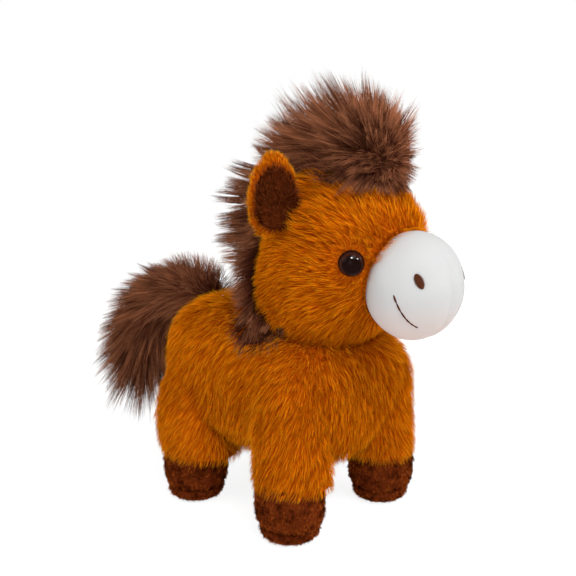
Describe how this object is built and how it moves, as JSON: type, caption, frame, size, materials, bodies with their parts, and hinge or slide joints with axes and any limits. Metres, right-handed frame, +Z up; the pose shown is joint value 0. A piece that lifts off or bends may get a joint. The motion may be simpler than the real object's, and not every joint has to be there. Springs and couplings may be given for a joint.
{
  "type": "plush horse",
  "caption": "Standing stuffed toy horse with shaggy mane and tail, a smooth round muzzle and soft hooves, to sit on a shelf or be hugged.",
  "frame": {"origin": "on the ground, at the middle of the toy's box in plan", "axes": "+Z up, -Y is where the horse faces, +X is the horse's left"},
  "size_m": [0.1246, 0.292, 0.2459],
  "materials": {
    "orange_plush": "combed pile",
    "brown_long_pile": "long shaggy pile",
    "white_short_nap": "short smooth nap",
    "brown_short_nap": "short nap",
    "ear_lining_nap": "short nap",
    "brown_thread": "embroidery thread",
    "polyester_stuffing": "loose fibre",
    "eye_plastic": "polished dome",
    "washer_plastic": "plain"
  },
  "bodies": {
    "root": {"body_cover": "orange_plush", "body_stuffing": "polyester_stuffing", "eye_left": "eye_plastic", "eye_right": "eye_plastic", "eye_washer_left": "washer_plastic", "eye_washer_right": "washer_plastic", "forelock": "brown_long_pile", "head_cover": "orange_plush", "head_stuffing": "polyester_stuffing", "hoof_cover_front_left": "brown_short_nap", "hoof_cover_front_right": "brown_short_nap", "hoof_cover_rear_left": "brown_short_nap", "hoof_cover_rear_right": "brown_short_nap", "hoof_sole_front_left": "brown_short_nap", "hoof_sole_front_right": "brown_short_nap", "hoof_sole_rear_left": "brown_short_nap", "hoof_sole_rear_right": "brown_short_nap", "leg_cover_front_left": "orange_plush", "leg_cover_front_right": "orange_plush", "leg_cover_rear_left": "orange_plush", "leg_cover_rear_right": "orange_plush", "leg_stuffing_front_left": "polyester_stuffing", "leg_stuffing_front_right": "polyester_stuffing", "leg_stuffing_rear_left": "polyester_stuffing", "leg_stuffing_rear_right": "polyester_stuffing", "mane": "brown_long_pile", "muzzle_cover": "white_short_nap", "muzzle_stuffing": "polyester_stuffing", "nostril_left": "brown_thread", "nostril_right": "brown_thread", "smile_stitch_left": "brown_thread", "smile_stitch_right": "brown_thread"},
    "tail": {"tail": "brown_long_pile"},
    "ear_left": {"ear_back_left": "orange_plush", "ear_lining_left": "ear_lining_nap"},
    "ear_right": {"ear_back_right": "orange_plush", "ear_lining_right": "ear_lining_nap"}
  },
  "joints": [
    {"name": "tail_swing", "type": "hinge", "parent": "root", "child": "tail", "pos_m": [0, 0.03637, 0.11425], "axis": [1, 0, 0], "range_deg": [-15, 35], "stiffness_Nm_per_rad": 0.5},
    {"name": "ear_fold_left", "type": "hinge", "parent": "root", "child": "ear_left", "pos_m": [0.04173, -0.06296, 0.17577], "axis": [-0.2456, -0.4971, 0.8322], "range_deg": [-20, 20], "stiffness_Nm_per_rad": 0.03},
    {"name": "ear_fold_right", "type": "hinge", "parent": "root", "child": "ear_right", "pos_m": [-0.04173, -0.06296, 0.17577], "axis": [-0.2462, 0.4978, -0.8316], "range_deg": [-20, 20], "stiffness_Nm_per_rad": 0.03}
  ]
}
